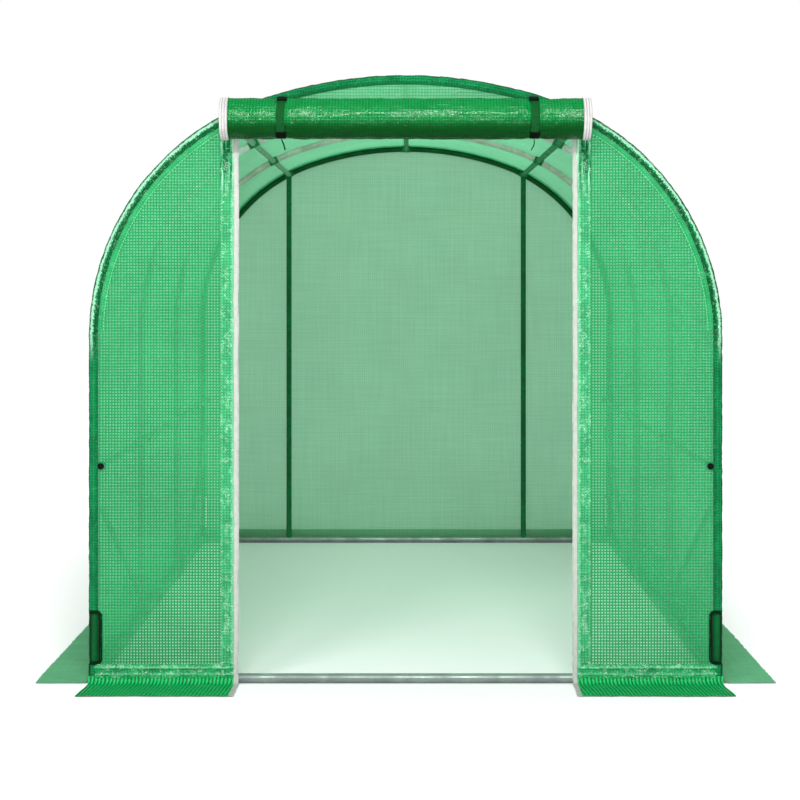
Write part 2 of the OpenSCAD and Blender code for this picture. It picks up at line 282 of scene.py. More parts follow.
for axis in "XY":
    phase = math_node(grid, "FRACT", math_node(grid, "DIVIDE", parts.outputs[axis],
                                               grid_in.outputs["Pitch"]))
    away = math_node(grid, "MULTIPLY", math_node(grid, "ABSOLUTE",
                                                 math_node(grid, "SUBTRACT", phase, 0.5)), 2.0)
    rows.append(smooth_range(grid, away, math_node(grid, "SUBTRACT", edge, THREAD_SOFTNESS),
                             math_node(grid, "ADD", edge, THREAD_SOFTNESS), 1.0, 0.0))
plug(grid, grid_out.inputs["Threads"], math_node(grid, "MAXIMUM", *rows))
plug(grid, grid_out.inputs["Height"], math_node(grid, "MULTIPLY", math_node(grid, "ADD", *rows), 0.5))

# %% The sharp creases of crumpled film
crease, crease_in, crease_out = new_group(
    "Crumpled film",
    [("Vector", "NodeSocketVector", None), ("Scale", "NodeSocketFloat", 40.0),
     ("Glint width", "NodeSocketFloat", 0.03)],
    [("Height", "NodeSocketFloat"), ("Glints", "NodeSocketFloat")])
large = texture(crease, "ShaderNodeTexNoise", crease_in.outputs["Vector"], Detail=1.0, Distortion=0.6)
plug(crease, large.inputs["Scale"], crease_in.outputs["Scale"])
small = texture(crease, "ShaderNodeTexNoise", crease_in.outputs["Vector"], Detail=1.0, Distortion=1.2)
plug(crease, small.inputs["Scale"], math_node(crease, "MULTIPLY", crease_in.outputs["Scale"], 3.1))
folds = [math_node(crease, "ABSOLUTE", math_node(crease, "SUBTRACT", field.outputs["Fac"], 0.5))
         for field in (large, small)]
sharp = [smooth_range(crease, fold, 0.0, reach, 1.0, 0.0) for fold, reach in zip(folds, (0.16, 0.12))]
plug(crease, crease_out.inputs["Height"], math_node(crease, "MULTIPLY_ADD", sharp[1], 0.45, sharp[0]))
thin = smooth_range(crease, folds[1], 0.0, crease_in.outputs["Glint width"], 1.0, 0.0)
plug(crease, crease_out.inputs["Glints"], math_node(
    crease, "MULTIPLY", thin, smooth_range(crease, large.outputs["Fac"], 0.50, 0.60)))

# %% Blotches of uneven colour
patchy, patchy_in, patchy_out = new_group(
    "Blotches",
    [("Vector", "NodeSocketVector", None), ("Scale", "NodeSocketFloat", 4.0),
     ("Amount", "NodeSocketFloat", 0.2)],
    [("Shade", "NodeSocketColor"), ("Mask", "NodeSocketFloat")])
cloud = texture(patchy, "ShaderNodeTexNoise", patchy_in.outputs["Vector"], Detail=2.0, Roughness=0.6)
plug(patchy, cloud.inputs["Scale"], patchy_in.outputs["Scale"])
mask = smooth_range(patchy, cloud.outputs["Fac"], 0.3, 0.7)
dim = math_node(patchy, "SUBTRACT", 1.0, math_node(patchy, "MULTIPLY", mask,
                                                   patchy_in.outputs["Amount"]))
grey = patchy.nodes.new("ShaderNodeCombineXYZ")
for axis in "XYZ":
    plug(patchy, grey.inputs[axis], dim)
plug(patchy, patchy_out.inputs["Shade"], grey.outputs[0])
plug(patchy, patchy_out.inputs["Mask"], mask)
print("shader groups:", [g.name for g in bpy.data.node_groups])


# %% Starting a material
def srgb(r, g, b):
    """A colour as painters name it, 0 to 255, made linear."""
    line = lambda c: c / 12.92 if c <= 0.04045 else ((c + 0.055) / 1.055) ** 2.4
    return (*(line(c / 255) for c in (r, g, b)), 1.0)


def new_material(name, uv=True):
    material = bpy.data.materials.new(name)
    material.use_nodes = True
    tree = material.node_tree
    surface = tree.nodes["Principled BSDF"]
    if uv:
        where = tree.nodes.new("ShaderNodeUVMap")
        where.uv_map = "cloth"
        place = where.outputs[0]
    else:
        place = tree.nodes.new("ShaderNodeTexCoord").outputs["Object"]
    return material, tree, surface, place


def use_group(tree, group, vector, **values):
    node = tree.nodes.new("ShaderNodeGroup")
    node.node_tree = group
    tree.links.new(vector, node.inputs["Vector"])
    for label, value in values.items():
        plug(tree, node.inputs[label.replace("_", " ")], value)
    return node


def stretched(tree, place, scale, turn=0.0):
    """The same places, scaled apart in each direction and turned, to draw patterns out long."""
    node = tree.nodes.new("ShaderNodeMapping")
    node.inputs["Scale"].default_value = scale
    node.inputs["Rotation"].default_value = (0, 0, math.radians(turn))
    tree.links.new(place, node.inputs["Vector"])
    return node.outputs[0]


def relief(tree, surface, height, distance, strength=1.0):
    bump = tree.nodes.new("ShaderNodeBump")
    bump.inputs["Distance"].default_value = distance
    bump.inputs["Strength"].default_value = strength
    plug(tree, bump.inputs["Height"], height)
    tree.links.new(bump.outputs[0], surface.inputs["Normal"])
    return bump.outputs[0]


def set_gloss(surface, rough, specular):
    surface.inputs["Roughness"].default_value = rough
    surface.inputs["Specular IOR Level"].default_value = specular


def mix_shaders(tree, share, first, second):
    node = tree.nodes.new("ShaderNodeMixShader")
    plug(tree, node.inputs[0], share)
    tree.links.new(first, node.inputs[1])
    tree.links.new(second, node.inputs[2])
    return node.outputs[0]


def glow_through(tree, surface, colour, share, normal=None):
    """The surface mixed with the light that comes through the cloth from behind."""
    through = tree.nodes.new("ShaderNodeBsdfTranslucent")
    plug(tree, through.inputs["Color"], colour)
    if normal is not None:
        tree.links.new(normal, through.inputs["Normal"])
    return mix_shaders(tree, share, surface.outputs[0], through.outputs[0])


def blotched(tree, place, colour, scale, amount):
    """The colour dimmed in blotches, and the group that does it."""
    patches = use_group(tree, patchy, place, Scale=scale, Amount=amount)
    return mix_colour(tree, 1.0, colour, patches.outputs["Shade"], "MULTIPLY"), patches


# %% [markdown]
# ## Reinforced film
# The cover is a clear green film with a grid of flat green threads laminated in it.
# Light passes through both, more through the squares between the threads. A mix of a
# glossy surface with a translucent one carries the light through, and a mix with a
# transparent one lets what is behind show in the squares.

# %% The film with its grid of threads
def film(name, thread, square, see_through=(0.1, 0.5), glow=0.5, pitch=0.0094, share=0.56,
         crumple=0.0006, crumple_scale=26.0, roughness=0.32, patch=0.12, streaks=0.08):
    """thread and square are colours; see_through is how clear each of them is."""
    material, tree, surface, place = new_material(name)
    weave = use_group(tree, grid, place, Pitch=pitch, Thread_share=share)
    creases = use_group(tree, crease, place, Scale=crumple_scale)
    colour = mix_colour(tree, weave.outputs["Threads"], square, thread)
    colour, _ = blotched(tree, place, colour, 3.0, patch)
    for stretch in ((1.0, 0.03, 1.0), (0.03, 1.0, 1.0)):       # thicker and thinner threads, both ways
        colour, _ = blotched(tree, stretched(tree, place, stretch), colour, 110.0, streaks)
    plug(tree, surface.inputs["Base Color"], colour)
    set_gloss(surface, roughness, 0.3)
    height = math_node(tree, "MULTIPLY_ADD", weave.outputs["Height"], 0.25,
                       creases.outputs["Height"])
    lit = glow_through(tree, surface, colour, glow, relief(tree, surface, height, crumple))
    clear = tree.nodes.new("ShaderNodeBsdfTransparent")
    solid = smooth_range(tree, weave.outputs["Threads"], 0.0, 1.0, 1 - see_through[1], 1 - see_through[0])
    tree.links.new(mix_shaders(tree, solid, clear.outputs[0], lit),
                   tree.nodes["Material Output"].inputs["Surface"])
    return material


PANEL_FILM = film("panel film", srgb(38, 164, 96), srgb(140, 244, 188), (0.05, 0.62), 0.42, share=0.5)
# The crescent is the same film as the side panels, painted paler for the bright roof that shines through it
# from behind.
BACKLIT_CRESCENT_FILM = film("crescent film", srgb(84, 190, 128), srgb(176, 248, 206), (0.05, 0.5), 0.5, share=0.5)
COVER_FILM = film("cover film", srgb(68, 168, 114), srgb(120, 206, 156), (0.04, 0.25), 0.6,
                  crumple=0.0004, crumple_scale=12.0)
BACK_FILM = film("back film", srgb(144, 210, 170), srgb(174, 230, 194), (0.02, 0.1), 0.66,
                 share=0.6, crumple=0.0003, crumple_scale=8.0, roughness=0.5, patch=0.05, streaks=0.06)
SKIRT_FILM = film("side skirt film", srgb(98, 182, 130), srgb(126, 206, 156), (0.0, 0.04), 0.12,
                  crumple=0.0004, crumple_scale=10.0, roughness=0.6)


# %% Film in several layers
def layered_film(name, thread, square, crumple=0.0012, scale=34.0, rough=0.3, glow=0.15,
                 glint=0.5, patch=0.35, grid_relief=0.5, ribs=None, pitch=0.0088, share=0.6,
                 specular=0.3, zones=(), glint_width=0.022, glint_reach=None, pucker_light=None,
                 soft=0.002):
    """Doubled film: hardly see-through, crumpled, with bright glints on its creases.
    zones are (from, to, colour, amount) bands along the seam, by their place across it.
    A zone may end with two more numbers, how far up the arch it starts and stops, and
    glint_reach does the same for the glints. soft is the width of a zone's edges. ribs
    are (tilt in degrees, scale, amount) of fine pleats, and the pucker range is where
    along the cloth the painted shade and painted highlight stripes over its puckers start
    and where they are strongest."""
    material, tree, surface, place = new_material(name)
    creases = use_group(tree, crease, place, Scale=scale, Glint_width=glint_width)
    weave = use_group(tree, grid, place, Pitch=pitch, Thread_share=share)
    colour = mix_colour(tree, weave.outputs["Threads"], square, thread)
    colour, _ = blotched(tree, place, colour, 16.0, patch)
    parts = tree.nodes.new("ShaderNodeSeparateXYZ")
    tree.links.new(place, parts.inputs[0])
    across = math_node(tree, "MULTIPLY_ADD", creases.outputs["Height"], 0.004, parts.outputs["Y"])
    from_top = math_node(tree, "ABSOLUTE", math_node(tree, "SUBTRACT", parts.outputs["X"], ARCH_S / 2))
    up = math_node(tree, "SUBTRACT", ARCH_S / 2, from_top)

    def between(value, start, stop, soft):
        return math_node(tree, "MULTIPLY", smooth_range(tree, value, start, start + soft),
                         smooth_range(tree, value, stop - soft, stop, 1.0, 0.0))

    for start, stop, tint, amount, *rest in zones:
        band = math_node(tree, "MULTIPLY", between(across, start, stop, soft), amount)
        if rest:
            band = math_node(tree, "MULTIPLY", band, between(up, *rest, 0.12))
        colour = mix_colour(tree, band, colour, tint)
    # Painted shade and painted highlight stripes, drawn out along the cloth, over its puckers.
    if pucker_light is not None:
        drawn = texture(tree, "ShaderNodeTexNoise", stretched(tree, place, (0.05, 1.0, 1.0)), Scale=150.0,
                        Detail=2.0)
        pulled = smooth_range(tree, parts.outputs["X"], *pucker_light)
        for start, stop, tint in ((0.50, 0.40, srgb(0, 104, 56)), (0.56, 0.64, srgb(190, 246, 212))):
            amount = smooth_range(tree, drawn.outputs["Fac"], start, stop)
            colour = mix_colour(tree, math_node(tree, "MULTIPLY", pulled, amount), colour, tint)
    height = math_node(tree, "MULTIPLY_ADD", weave.outputs["Height"], grid_relief,
                       creases.outputs["Height"])
    if ribs is not None:
        tilt, rib_scale, amount = ribs
        rib = texture(tree, "ShaderNodeTexWave", stretched(tree, place, (1, 1, 1), tilt),
                      Scale=rib_scale, Distortion=1.2, Detail=1.0)
        colour = mix_colour(tree, math_node(tree, "MULTIPLY", rib.outputs["Fac"], amount), colour,
                            square)
        height = math_node(tree, "MULTIPLY_ADD", rib.outputs["Fac"], 0.8, height)
    bright = math_node(tree, "MULTIPLY", creases.outputs["Glints"], glint)
    if glint_reach is not None:
        bright = math_node(tree, "MULTIPLY", bright, math_node(
            tree, "MULTIPLY_ADD", between(up, *glint_reach, 0.15), 0.85, 0.15))
    flecks = mix_colour(tree, bright, colour, srgb(206, 246, 220))
    plug(tree, surface.inputs["Base Color"], flecks)
    set_gloss(surface, rough, specular)
    relief(tree, surface, height, crumple)
    tree.links.new(glow_through(tree, surface, flecks, glow),
                   tree.nodes["Material Output"].inputs["Surface"])
    return material


# Bands across the front sleeve: painted shade where it turns round the tube, a painted highlight along the
# tube's face over the shoulders, and darker bands further in.
SLEEVE_BANDS_WITH_PAINTED_LIGHT = ((-0.07, 0.0155, srgb(0, 84, 44), 0.85), (0.0165, 0.027, srgb(176, 240, 202), 0.8, 1.0, 2.0),
                (0.029, 0.06, srgb(0, 78, 36), 0.85, 1.0, 2.1), (0.0355, 0.06, srgb(0, 92, 50), 0.8, -1, 1.1),
                (0.0325, 0.06, srgb(0, 98, 50), 0.8, 2.0, 9.0))
SLEEVE_FILM = layered_film("sleeve film", srgb(0, 128, 68), srgb(26, 166, 100), scale=95.0, glint=0.55,
                           glint_width=0.035, specular=0.2, zones=SLEEVE_BANDS_WITH_PAINTED_LIGHT, glint_reach=(1.0, 2.0))
# The back sleeve is the same doubled film as the front one, painted lighter for the light that comes through
# it from behind.
BACKLIT_SLEEVE_FILM = layered_film("back sleeve film", srgb(60, 160, 104), srgb(96, 196, 140), scale=52.0,
                                glint=0.4, glow=0.75, specular=0.2)
FACING_ZONES = ((-0.01, 0.020, srgb(150, 228, 184), 0.45), (-0.01, 0.0085, srgb(226, 250, 234), 0.35))
# Under the roll, the facing's puckers carry painted shade and painted highlight stripes.
FACING_FILM = layered_film("facing film", srgb(56, 170, 108), srgb(100, 208, 148), scale=50.0,
                           glint=0.9, crumple=0.0009, glow=0.3, patch=0.25, glint_width=0.045,
                           specular=0.2, zones=FACING_ZONES, pucker_light=(1.52, 1.64))
FOLD_FILM = layered_film("fold film", srgb(44, 166, 98), srgb(70, 190, 124), scale=30.0, glint=0.35,
                         crumple=0.0006, glow=0.35, patch=0.2, specular=0.2)
# Painted highlights along the hem's two folds, with a line of painted shade between them.
HEM_HIGHLIGHTS_AND_SHADE = ((0.053, 0.0605, srgb(150, 230, 182), 0.45), (0.0445, 0.0475, srgb(0, 88, 46), 0.85),
             (0.030, 0.0375, srgb(150, 230, 182), 0.35))
HEM_FILM = layered_film("hem film", srgb(36, 168, 98), srgb(72, 200, 130), scale=56.0, glow=0.2,
                        glint=0.9, glint_width=0.05, specular=0.3, zones=HEM_HIGHLIGHTS_AND_SHADE)
FRONT_SKIRT_FILM = layered_film("front skirt film", srgb(0, 112, 46), srgb(26, 186, 102), scale=20.0,
                                glow=0.05, glint=0.15, grid_relief=0.1, ribs=(-4.5, 27.0, 1.0), share=0.95,
                                specular=0.2)
# Painted shade over the underside of the roll's outer turn, with soft edges.
ROLL_UNDERSIDE_SHADE = ((-0.243, -0.075, srgb(0, 62, 14), 0.65), (-0.228, -0.075, srgb(0, 46, 4), 0.7))
ROLL_FILM = layered_film("rolled film", srgb(0, 124, 56), srgb(0, 84, 32), crumple=0.0006, scale=30.0,
                         rough=0.2, glow=0.0, glint=0.0, patch=0.15, grid_relief=1.1, pitch=0.0094,
                         share=0.5, specular=0.4, zones=ROLL_UNDERSIDE_SHADE, soft=0.035)
# A sewn binding round each slot; its near-black colour is painted shade at the edge of the slot.
SHADED_SLOT_BINDING = layered_film("slot binding", srgb(0, 34, 14), srgb(0, 50, 22), scale=60.0, glow=0.0,
                       glint=0.1, specular=0.1, rough=0.5)


# %% Zip tape, webbing, plastic
def plain_cloth(name, colour, rough, thread=0.0011, depth=0.0002, stain=0.12, specular=0.2, groove_shade=0.0):
    material, tree, surface, place = new_material(name)
    weave = use_group(tree, grid, place, Pitch=thread, Thread_share=0.7, Wander=0.0002)
    shade, _ = blotched(tree, place, colour, 30.0, stain)
    # Thin dark lines painted as shade in the grooves between the ridges of the wound tape.
    if groove_shade:
        lines = texture(tree, "ShaderNodeTexWave", place, Scale=36.0, Distortion=0.3)
        thin = smooth_range(tree, lines.outputs["Fac"], 0.35, 0.0, 0.0, groove_shade)
        shade = mix_colour(tree, thin, shade, srgb(120, 108, 112))
    plug(tree, surface.inputs["Base Color"], shade)
    set_gloss(surface, rough, specular)
    relief(tree, surface, weave.outputs["Height"], depth)
    return material


ROLLED_TAPE = plain_cloth("rolled zip tape", srgb(186, 186, 184), 0.55, groove_shade=0.7)
ZIP_WHITE = plain_cloth("white zip tape", srgb(172, 177, 169), 0.55)
WEBBING = plain_cloth("dark green webbing", srgb(0, 76, 28), 0.7, thread=0.0024, depth=0.0006)
STITCH_THREAD = plain_cloth("pale stitching thread", srgb(120, 216, 158), 0.5)


def moulded(name, colour, rough, depth=0.0002, specular=0.15):
    material, tree, surface, place = new_material(name, uv=False)
    shade, patches = blotched(tree, place, colour, 60.0, 0.3)
    plug(tree, surface.inputs["Base Color"], shade)
    set_gloss(surface, rough, specular)
    relief(tree, surface, patches.outputs["Mask"], depth)
    return material


BLACK_PLASTIC = moulded("black plastic", srgb(10, 14, 10), 0.45)
ZIP_TEETH = moulded("white zip teeth", srgb(184, 188, 182), 0.35)


# %% [markdown]
# ## Tubes
# The end hoops and the purlins are steel tube in a green plastic coat. The inner
# hoops, posts and ground bars are galvanised: pale zinc with darker streaks along the
# tube and small spangles. Both read the place in the model itself, as the tubes
# carry no pattern of their own.

# %% Coated and galvanised tube
def coated(name, colour, rough=0.35):
    material, tree, surface, place = new_material(name, uv=False)
    shade, patches = blotched(tree, place, colour, 18.0, 0.3)
    plug(tree, surface.inputs["Base Color"], shade)
    plug(tree, surface.inputs["Roughness"], smooth_range(tree, patches.outputs["Mask"], 0, 1,
                                                         rough, rough + 0.15))
    surface.inputs["Specular IOR Level"].default_value = 0.3
    relief(tree, surface, patches.outputs["Mask"], 0.0003)
    return material


def galvanised(name, colour, metal=0.55, rough=0.38, shade_below=None):
    """The colour given for a tube's lower part is a darker zinc, painted there as shade."""
    material, tree, surface, place = new_material(name, uv=False)
    if shade_below is not None:
        parts = tree.nodes.new("ShaderNodeSeparateXYZ")
        tree.links.new(place, parts.inputs[0])
        colour = mix_colour(tree, smooth_range(tree, parts.outputs["Z"], 1.25, 1.5), shade_below, colour)
    spangle = texture(tree, "ShaderNodeTexVoronoi", place, Scale=140.0)
    shade, patches = blotched(tree, place, colour, 11.0, 0.35)
    shade = mix_colour(tree, math_node(tree, "MULTIPLY", spangle.outputs["Distance"], 0.4), shade,
                       srgb(120, 130, 130))
    plug(tree, surface.inputs["Base Color"], shade)
    surface.inputs["Metallic"].default_value = metal
    plug(tree, surface.inputs["Roughness"], smooth_range(tree, patches.outputs["Mask"], 0, 1,
                                                         rough, rough + 0.2))
    relief(tree, surface, spangle.outputs["Distance"], 0.0003)
    return material


GREEN_TUBE = coated("green coated tube", srgb(0, 88, 40), 0.28)
GREEN_PURLIN = coated("green coated purlin", srgb(0, 140, 74))
POST_GREEN = coated("green coated post", srgb(24, 112, 66), 0.25)
# The left shoulder purlin is the same green coated tube as the right, painted paler as the reflection on it.
PURLIN_WITH_PAINTED_SHEEN = coated("green purlin with painted sheen", srgb(150, 190, 168))
ZINC = galvanised("galvanised tube", srgb(196, 200, 192), 0.3)
# The hoop sides, side rails and braces are the same zinc painted darker, as shade behind the wall film.
ZINC_IN_PAINTED_SHADE = srgb(120, 138, 126)
WALL_ZINC_IN_SHADE = galvanised("shaded galvanised tube", ZINC_IN_PAINTED_SHADE, 0.3)
# The second and third hoops are the same zinc painted brighter above, for the light on them, with painted
# shade low down.
LIT_SECOND_HOOP_ZINC = galvanised("second hoop tube", srgb(250, 250, 246), 0.1, shade_below=ZINC_IN_PAINTED_SHADE)
LIT_THIRD_HOOP_ZINC = galvanised("third hoop tube", srgb(240, 236, 226), 0.2, shade_below=ZINC_IN_PAINTED_SHADE)
BASE_ZINC = galvanised("galvanised ground bar", srgb(150, 168, 160), 0.4, 0.3)

FINISHES = {
    "front_hoop": GREEN_TUBE, "back_hoop": GREEN_TUBE, "second_hoop": LIT_SECOND_HOOP_ZINC,
    "third_hoop": LIT_THIRD_HOOP_ZINC, "ridge_purlin": GREEN_PURLIN, "right_shoulder_purlin": GREEN_PURLIN,
    "left_shoulder_purlin": PURLIN_WITH_PAINTED_SHEEN, "front_base": BASE_ZINC, "back_base": BASE_ZINC,
    "left_base": BASE_ZINC, "right_base": BASE_ZINC, "front_posts": ZINC, "back_posts": POST_GREEN,
    "left_side_rail": WALL_ZINC_IN_SHADE, "right_side_rail": WALL_ZINC_IN_SHADE, "left_braces": WALL_ZINC_IN_SHADE,
    "right_braces": WALL_ZINC_IN_SHADE, "purlin_fittings": GREEN_PURLIN, "rail_clips": BLACK_PLASTIC,
    "rail_caps": BLACK_PLASTIC}
for node in sorted(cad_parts):
    for start, material in FINISHES.items():
        if node.startswith(start):
            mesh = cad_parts[node].data
            mesh.materials.clear()
            mesh.materials.append(material)
print("tube finishes set")

# %% [markdown]
# ## The main cover
# One sheet goes from foot to foot over all four hoops. It rests on the tubes and dips
# a little between them, and less where a purlin holds it up. The sheet is laid out
# along the arch and along the tunnel, so its grid of threads stays square.

# %% The cover over the hoops
FOOT_GAP = 0.014                                   # the cloth of the walls ends above the ground
s = np.linspace(FOOT_GAP, ARCH_S - FOOT_GAP, 300)
y = np.linspace(HOOPS[0], HOOPS[-1], 150)
S, Y = np.meshgrid(s, y)
bay = HOOPS[1] - HOOPS[0]
between = np.sin(np.pi * np.clip((Y - HOOPS[0]) / bay, 0, 3)) ** 2
purlin_x = (low("right_shoulder_purlin").x + high("right_shoulder_purlin").x) / 2
X0, Z0, NX, NZ = arch(S)
held = np.exp(-((np.abs(X0) - purlin_x) / 0.07) ** 2) + np.exp(-(X0 / 0.07) ** 2)
held = np.where(Z0 > 1.3, np.clip(held, 0, 1), 0)
dip = 0.0015 + between * (0.0085 * (1 - held) + 0.0015 * held)
dip = dip + 0.0016 * (1 + bumps(S, Y, 0.30, 0.22, 3)) * between * (1 - held)
dip = dip + 0.0012 * bumps(S, Y, 0.06, 0.5, 4) * between * (1 - held)
PX, PZ, _, _ = arch(S, -dip)
cover = sheet_mesh("cover", join_points(PX, Y, PZ), S, Y, COVER_FILM)
settle(cover, "cover_sheet", "left_wall_cover", "left_shoulder_cover", "crown_cover",
       "right_shoulder_cover", "right_wall_cover")


# %% [markdown]
# ## The end panels
# The front end has a panel on each side of the doorway and a crescent over it. Each
# is laid out column by column, from its foot up to the arch. Beside the doorway the
# film is gathered, most of all just under the rolled door, where its weight pulls.

# %% A panel laid out in columns under the arch
DOOR_X = (high("door_zips").x + low("front_right_panel").x) / 2 - 0.006
DOOR_TOP = low("front_top_panel").z
FOOT_Z = low("front_left_panel").z


def front_ripple(x, z):
    """How far the front film stands in or out at a place, in metres."""
    beside = 1 - ease(np.abs(x), DOOR_X, DOOR_X + 0.10)
    under_roll = ease(z, 1.45, 1.66) * (1 - ease(np.abs(x), DOOR_X, DOOR_X + 0.16))
    ripple = 0.0035 * under_roll * bumps(x, z, 0.011, 0.22, 11)
    ripple = ripple + 0.0016 * beside * bumps(x, z, 0.02, 0.028, 12)
    ripple = ripple + 0.0022 * bumps(x, z, 0.16, 0.24, 13) * ease(z, 0.05, 0.25)
    near_foot = 1 - ease(z, 0.06, 0.16)
    return ripple + 0.0014 * near_foot * bumps(x, z, 0.03, 0.012, 14)


SLOT_LOW, SLOT_HIGH, SLOT_CORNER = 0.066, 0.228, 0.014
SLOT_IN = HALF_W - 0.039


def over_slot(x, z):
    """True where the sheet is cut away to show the foot of a hoop."""
    x = np.abs(x)
    inside = (x > SLOT_IN) & (z > SLOT_LOW) & (z < SLOT_HIGH)
    dx = np.maximum(SLOT_IN + SLOT_CORNER - x, 0)
    dz = np.maximum(np.maximum(SLOT_LOW + SLOT_CORNER - z, z - SLOT_HIGH + SLOT_CORNER), 0)
    return inside & (dx**2 + dz**2 < SLOT_CORNER**2)


def middles(g):
    """The value at the middle of each face of a grid."""
    return (g[:-1, :-1] + g[1:, :-1] + g[:-1, 1:] + g[1:, 1:]) / 4


def column_panel(name, x_from, x_to, foot, columns, rows, y_place, facing, material):
    """y_place(x, z) gives the film's place. facing is 1 at the front end and -1 at the back."""
    X, T = np.meshgrid(np.linspace(x_from, x_to, columns), np.linspace(0, 1, rows))
    Z = foot + T * (arch_top(X, TUBE_IN) - foot)
    keep = ~over_slot(middles(X), middles(Z))
    return sheet_mesh(name, join_points(X, y_place(X, Z), Z), X * facing, Z, material, keep)


PANEL_X = HALF_W - TUBE_IN - 0.001                 # the film's edge, hidden in the sleeve
for side, label in SIDES:
    edges = sorted((side * (DOOR_X + 0.002), side * PANEL_X))
    panel = column_panel(f"front_{label}_panel_film", *edges, FOOT_Z + 0.012, 90, 260,
                         lambda x, z: FRONT_Y + 0.001 - front_ripple(x, z), 1, PANEL_FILM)
    settle(panel, "cover_sheet", f"front_{label}_panel")

# %% The crescent over the doorway
crescent = column_panel("front_top_panel_film", -DOOR_X - 0.002, DOOR_X + 0.002, DOOR_TOP - 0.03, 120, 24,
                        lambda x, z: FRONT_Y + 0.001 + 0.002 * bumps(x, z, 0.08, 0.06, 15),
                        1, BACKLIT_CRESCENT_FILM)
settle(crescent, "cover_sheet", "front_top_panel")

# %% The back panel
back = column_panel("back_panel_film", PANEL_X, -PANEL_X, FOOT_Z, 220, 150,
                    lambda x, z: BACK_Y - 0.001 - 0.003 * bumps(x, z, 0.3, 0.35, 16) ** 2,
                    -1, BACK_FILM)
settle(back, "cover_sheet", "back_panel")

# %% [markdown]
# ## The sleeves round the end hoops
# The cover and each end panel meet in a sewn sleeve that the end hoop slides through.
# It is doubled film, so it is darker than the rest and covered in small creases. In
# section it lies on the roof, turns round the tube and lies on the end panel. That
# section is swept along the whole arch.

# %% A strip swept along the arch
def end_face(end):
    return FRONT_Y if end < 0 else BACK_Y


def swept_strip(name, section, end, material, wrinkle, steps=900, start=FOOT_GAP, stop=ARCH_S - FOOT_GAP,
                cut=True):
    """section holds (inset, back from the end face, along the cloth) for each line of the strip."""
    inset, back_off, along = (np.array(c, float) for c in zip(*section))
    S, T = np.meshgrid(np.linspace(start, stop, steps), along)
    I, B = np.repeat(inset[:, None], steps, 1), np.repeat(back_off[:, None], steps, 1)
    X0, Z0, NX, NZ = arch(S)
    out = wrinkle(S, T)
    turn = np.clip(I / TUBE_IN, 0, 1) * math.pi / 2              # which way is outwards there
    lift, push = out * np.cos(turn), out * np.sin(turn)
    X, Z = X0 + (lift - I) * NX, Z0 + (lift - I) * NZ
    Y = end_face(end) - end * (B - push)
    keep = None
    if cut:
        keep = ~(over_slot(middles(X) * 0 + HALF_W * np.sign(middles(X)), middles(Z))
                 & (middles(np.abs(X)) > SLOT_IN) & (middles(I) > 0.002) & (middles(Z) < 0.5))
    if end > 0:
        S, T = S[::-1], T[::-1]
        X, Y, Z = X[::-1], Y[::-1], Z[::-1]
        keep = None if keep is None else keep[::-1]
    return sheet_mesh(name, join_points(X, Y, Z), S, T, material, keep)


def sleeve_section():
    """From the roof, round the tube, on to the end panel."""
    lines = [(-0.0008, TUBE_IN + d, -d) for d in np.linspace(0.040, 0.004, 9)]
    for a in np.linspace(0, 90, 9):
        c, n = math.cos(math.radians(a)), math.sin(math.radians(a))
        lines.append((TUBE_IN - (TUBE_IN + 0.0008) * c, TUBE_IN - (TUBE_IN + 0.0012) * n,
                      TUBE_IN * math.radians(a)))
    turn = TUBE_IN * math.pi / 2
    lines += [(TUBE_IN + d, -0.0012, turn + d) for d in np.linspace(0.003, BAND - TUBE_IN, 6)]
    return lines


def sleeve_wrinkle(s, t):
    """How far the sleeve stands out at a place: s along the arch, t across the sleeve."""
    edge = np.clip(np.abs(t - 0.013) / 0.03, 0, 1)
    foot = ease(np.minimum(s, ARCH_S - s), 0.062, 0.10)        # smooth where it goes under the skirt
    return (0.0011 * bumps(s, t, 0.021, 0.03, 21) + 0.0009 * bumps(s, t, 0.009, 0.012, 22)
            + 0.0005) * (1 - 0.5 * edge) * foot - 0.0012 * (1 - foot)


BAND = 0.030                                       # how far in from the arch the sleeve reaches
for end, label in ENDS:
    film_here = SLEEVE_FILM if end < 0 else BACKLIT_SLEEVE_FILM
    sleeve = swept_strip(f"{label}_sleeve", sleeve_section(), end, film_here, sleeve_wrinkle)
    settle(sleeve, "sleeve_sheet", f"{label}_corner_sleeve")

# %% The fold sewn inside the front sleeve, over each shoulder
FOLD_IN = 0.050                                    # how far in from the arch the fold reaches
FOLD_FROM, FOLD_TO = 1.12, 2.02                    # and where along it
for side, label in SIDES:
    lines = [(BAND - 0.001 + d, -0.0006, d) for d in np.linspace(0, FOLD_IN - BAND, 7)]
    reach = (FOLD_FROM, FOLD_TO) if side < 0 else (ARCH_S - FOLD_TO, ARCH_S - FOLD_FROM)
    fold = swept_strip(f"front_{label}_fold", lines, -1, FOLD_FILM,
                       lambda s, t: 0.0006 + 0.0007 * bumps(s, t, 0.016, 0.02, 23),
                       steps=260, start=reach[0], stop=reach[1], cut=False)
    settle(fold, "cover_sheet")

# %% The binding sewn round each slot, near black with painted shade
def slot_outline(steps=14):
    """From the outer edge over the top, round two corners and back under, with outward normals."""
    line = [(HALF_W - 0.004, SLOT_HIGH, 0, 1)]
    for z, first in ((SLOT_HIGH - SLOT_CORNER, 0.5), (SLOT_LOW + SLOT_CORNER, 1.0)):
        for a in np.linspace(first * math.pi, (first + 0.5) * math.pi, steps):
            c, n = math.cos(a), math.sin(a)
            line.append((SLOT_IN + SLOT_CORNER + SLOT_CORNER * c, z + SLOT_CORNER * n, c, n))
    return np.array(line + [(HALF_W - 0.004, SLOT_LOW, 0, -1)])


